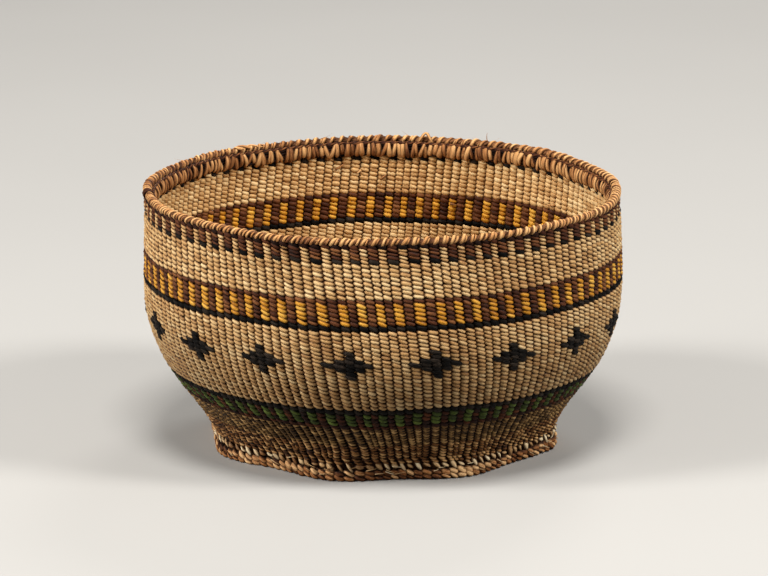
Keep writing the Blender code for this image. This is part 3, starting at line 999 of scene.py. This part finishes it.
def fraySome():
    # loose fibres of the pale row and the foot cords
    work, rng, share = startPiece(footFibres)
    for _ in range(footFibres["count"]):
        length = footFibres["length"] * (0.35 + 0.65 * rng.random())
        start = rng.uniform(footFibres["low"], footFibres["high"])
        height = start + length * rng.normal(-0.15, 0.35) * share
        angle = rng.uniform(0, fullTurn) + length * share / wall["radius"][0]
        depth = 0.05 - 0.25 * rng.random() - 0.20 * np.sin(pi * share)
        layStrand(
            work, onWall(angle, np.maximum(height, 0.5), depth)[0], outOfWall(angle, height),
            wide=footFibres["thick"] * (1.2 - 0.8 * share), thick=footFibres["thick"] * (0.9 - 0.6 * share),
            unshaded=1.0, tone=rng.random(), sides=4,
        )
    finishPiece(work, "foot_loose_fibres", "paleGrass")


for name, values in twistedPairs.items():
    twistPairs(name, **values)
wrapRim()
underRimRow()
foldEnds()
lashRim()
endCord()
raiseLoop()
strayFibres()
fraySome()
print("rim finished")


# Ends of spliced strands, left short on the inside of the wall

splice = {
    "count": 60, "steps": 7, "low": 24.0, "high": 63.0, "long": 3.2, "wide": 0.40,
    "thick": 0.24, "depth": 2.45, "bow": 0.25, "curl": (0.2, 0.9), "seed": 42,
}


def leaveSplices():
    work, rng, share = startPiece(splice)
    for _ in range(splice["count"]):
        length = splice["long"] * (0.4 + 0.6 * rng.random())
        way = rng.normal(0.0, 0.55) + rng.choice((0.0, pi))
        height = rng.uniform(splice["low"], splice["high"]) + length * sin(way) * share
        along = length * cos(way) * share / wallRadius(height)
        curl = rng.uniform(*splice["curl"])
        depth = splice["depth"] + curl * share ** 2 + splice["bow"] * np.sin(pi * share)
        layStrand(
            work, *onWall(rng.uniform(0, fullTurn) + along, height, depth, -1),
            wide=splice["wide"] * (1.15 - 0.75 * share), thick=splice["thick"] * (1.10 - 0.60 * share),
            unshaded=upFrom(0.72, share), tone=0.2 + 0.8 * rng.random(),
        )
    finishPiece(work, "inner_splice_ends", "rimBark")
    print("splices left")


leaveSplices()


# Foot: two thick twined cords, one on the other

foot = {
    "cords": [
        {"name": "foot_cord_lower", "height": 0.80, "tall": 1.14, "slant": 0.42, "point": 0.40, "seed": 50},
        {"name": "foot_cord_upper", "height": 2.05, "tall": 1.30, "slant": 0.30, "point": 0.50, "seed": 51},
    ], "middleDepth": 1.20, "swing": 0.74,
    "wide": 0.56,  # half a strand's width, as a share of the cord's height
    "clear": 0.88,  # how far above the table it stays, as a share of that
    "coreWide": 0.70, "thick": 0.50, "blunt": 0.40, "loose": 0.08, "looseSwing": 0.14,
    "looseSize": 0.20, "looseSlant": 0.3,
}
footStakes = aroundStakes(bands["foot_wall"]["laid"][0]["height"])


def twineFootCord(cord):
    work = bmesh.new()
    u, angle, count = footStakes
    for strand in (0, 1):
        swing, rise, loose, tone = twine(u, strand, count, cord["seed"])
        reach, firm = blunted(swing, foot["blunt"])
        slant = cord["slant"] * cord["tall"] * (1 + foot["looseSlant"] * loose[3])
        wide = cord["tall"] * foot["wide"] * upFrom(cord["point"], firm)
        wide = wide * (1 + foot["looseSize"] * loose[2])
        level = cord["height"] - slant * rise + foot["loose"] * loose[0] * firm
        height = np.maximum(level, wide * foot["clear"])
        depth = foot["middleDepth"] - (foot["swing"] + foot["looseSwing"] * loose[1]) * reach
        layStrand(
            work, *onWall(angle, height, depth), ring=True,
            wide=wide, thick=foot["thick"] * upFrom(0.70, firm), unshaded=firm, tone=tone,
        )
    # a core strand between the stitches, darkened with painted shade
    layStrand(
        work, *onWall(angle, np.full(len(u), cord["height"]), foot["middleDepth"]), ring=True,
        wide=foot["coreWide"], thick=foot["thick"], unshaded=0.6, tone=0.0,
    )
    finishPiece(work, cord["name"] + "_strands", "cordBark", [cord["name"]])


for cord in foot["cords"]:
    twineFootCord(cord)
print("foot cords twined")


# Base: a plait of flat bark, its ends held between rows of twining

base = {
    "height": 3.6, "rise": 0.45, "thick": 0.46, "reach": 41.4,
    "shortest": 2.0,  # half the length of a strip at the very edge
    "steps": 54, "across": 6,
    "apart": 1.2,  # between the strips in the frame
    "fuller": 0.48, "waver": 0.35, "waverLength": 17.0,
    "steep": 3.2,  # how sharply a strip dives
    "seeds": {"long": 600, "cross": 650}, "borderInner": 30.5, "borderOuter": 43.5,
    "borderRows": 12, "borderSwing": 1.12, "borderSlant": 0.30, "borderWide": 0.54,
    "borderThick": 0.32, "borderSeed": 700,
}


def plaitStrip(kind, lane, strips):
    # over and under the strips that cross it
    rng = default_rng(base["seeds"][kind] + lane)
    nodeName = f"base_strip_{kind}_{lane + 1}"
    isLong = kind == "long"
    low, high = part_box(nodeName)
    side = 1 if isLong else 0
    middle = (low[side] + high[side]) / 2 / mm
    half = (high[side] - low[side]) / 2 / mm
    pitch = 2 * half + base["apart"]
    half = half + base["fuller"]
    work = bmesh.new()
    bmesh.ops.create_grid(work, x_segments=base["steps"], y_segments=base["across"], size=1.0)
    wobble = rng.normal(0, 1, 4)
    for vertex in work.verts:
        x, y, _ = vertex.co
        across = middle + y * half * (1 + 0.02 * sin(wobble[0] + 9 * x))
        along = x * sqrt(max(base["reach"] ** 2 - across ** 2, base["shortest"] ** 2))
        across += base["waver"] * sin(wobble[1] + along / base["waverLength"])
        crossing = along / pitch + strips / 2 - 0.5
        over = cos(pi * (crossing + lane + (0 if isLong else 1)))
        lift = base["rise"] * max(-1.0, min(1.0, base["steep"] * over)) + 0.04 * sin(wobble[2] + 7 * y)
        height = base["height"] + lift - base["thick"] / 2
        vertex.co = (along, across, height) if isLong else (across, along, height)
    bmesh.ops.recalc_face_normals(work, faces=work.faces)
    bmesh.ops.solidify(work, geom=work.faces[:], thickness=base["thick"])
    bmesh.ops.recalc_face_normals(work, faces=work.faces)
    bmesh.ops.scale(work, vec=(mm, mm, mm), verts=work.verts)
    mesh = meshFrom(work, nodeName + "_bark")

    x, y, z = placesOf(mesh).T / mm
    along, across = (x, y) if isLong else (y, x)
    # painted shade: darker where a strip passes from over to under its neighbours, and along its edges
    above = np.clip(np.abs(z - base["height"]) / base["rise"], 0, 1)
    tone = np.full(len(z), rng.uniform(0.25, 0.9))
    mark(mesh, (along, across, z), (tone, 0.5 + 0.45 * above, (across - middle) / half))
    dressPiece(mesh, nodeName + "_bark", "bark", [nodeName])


def twineBorder():
    u, angle, count = footStakes
    radii = np.linspace(base["borderInner"], base["borderOuter"], base["borderRows"])
    pitch = radii[1] - radii[0]
    work = bmesh.new()
    for number, radius in enumerate(radii):
        for strand in (0, 1):
            swing, rise, loose, tone = twine(u, strand, count, base["borderSeed"] + number)
            reach, firm = blunted(swing, weft["blunt"])
            place = radius + base["borderSlant"] * pitch * rise + weft["loose"] * loose[0] * firm
            height = base["height"] + (base["borderSwing"] + weft["loose"] * loose[1]) * reach
            middle = np.stack((place * np.cos(angle), place * np.sin(angle), height), axis=-1)
            layStrand(
                work, shapedByHand(middle), (0.0, 0.0, 1.0), ring=True,
                wide=pitch * base["borderWide"] * upFrom(0.6, firm) * (1 + weft["looseThick"] * loose[2]),
                thick=base["borderThick"] * upFrom(0.65, firm), unshaded=firm, tone=tone,
            )
    finishPiece(work, "base_border_twining", "grass", ["base_border_under", "base_border_inside"])


for kind in ("long", "cross"):
    strips = sum(name.startswith(f"base_strip_{kind}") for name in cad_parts)
    for lane in range(strips):
        plaitStrip(kind, lane, strips)
twineBorder()
print("base plaited")


# Table, light and camera

view = {"distance": 1.150, "pitch": radians(13.6), "target": Vector((0.0004, 0.0, 0.0405)), "lens": 201.4}


def setTable():
    work = bmesh.new()
    bmesh.ops.create_grid(work, x_segments=1, y_segments=1, size=4.0)
    mesh = meshFrom(work, "table")
    board = Board("table_paint")
    place = board.node("ShaderNodeTexCoord", {}, {}, "Object")
    clouds = board.noise(place, 3.0, 3.0)
    pale = board.mix(clouds, (0.42, 0.415, 0.407, 1.0), (0.465, 0.46, 0.451, 1.0))
    # pale, but throws little light back up on the bowl
    seen = board.node("ShaderNodeLightPath") + board.node("ShaderNodeLightPath", {}, {}, "Is Glossy Ray")
    board.feed(board.shader.inputs["Base Color"], board.mix(seen, (0.13, 0.125, 0.12, 1.0), pale))
    board.feed(board.shader.inputs["Roughness"], board.fit(clouds, 0.3, 0.7, 0.8, 0.95))
    mesh.materials.append(board.material)
    table = addObject("table", mesh)


lamps = {  # place, size and power
    "left": ((-1.12, -0.42, 1.08), 0.40, 15.0),
    "right": ((1.12, -0.44, 1.08), 0.40, 16.5),
    "top": ((0.0, -0.46, 1.42), 0.50, 16.0),
    "lowLeft": ((-1.30, -0.50, 0.26), 0.40, 8.3),
    "lowRight": ((1.25, -0.45, 0.40), 0.40, 1.5),
    "back": ((0.35, 1.20, 1.00), 0.50, 6.0),
}
lampColour = (1.0, 0.97, 0.92)
lampAim = Vector((0.0, 0.0, 0.03))
skyColour = (1.0, 0.96, 0.90, 1.0)
skyStrength = 0.14


def aim(name, data, place, way):
    holder = addObject(name, data)
    holder.location = place
    holder.rotation_euler = way.to_track_quat("-Z", "Y").to_euler()
    return holder


def setLight():
    world = bpy.data.worlds.new("studio")
    world.use_nodes = True
    sky = world.node_tree.nodes["Background"]
    sky.inputs["Color"].default_value = skyColour
    sky.inputs["Strength"].default_value = skyStrength
    bpy.context.scene.world = world
    for name, (place, size, power) in lamps.items():
        lamp = bpy.data.lights.new(name, "AREA")
        lamp.shape = "DISK"
        lamp.size = size
        lamp.energy = power
        lamp.color = lampColour
        aim(name, lamp, place, lampAim - Vector(place))


def setCamera():
    back = Vector((0.0, -cos(view["pitch"]), sin(view["pitch"])))
    camera = bpy.data.cameras.new("camera")
    camera.lens = view["lens"]
    camera.clip_end = 10.0
    bpy.context.scene.camera = aim("camera", camera, view["target"] + back * view["distance"], -back)


setTable()
setLight()
setCamera()
bpy.context.scene.view_settings.view_transform = "Standard"
print("stage set")
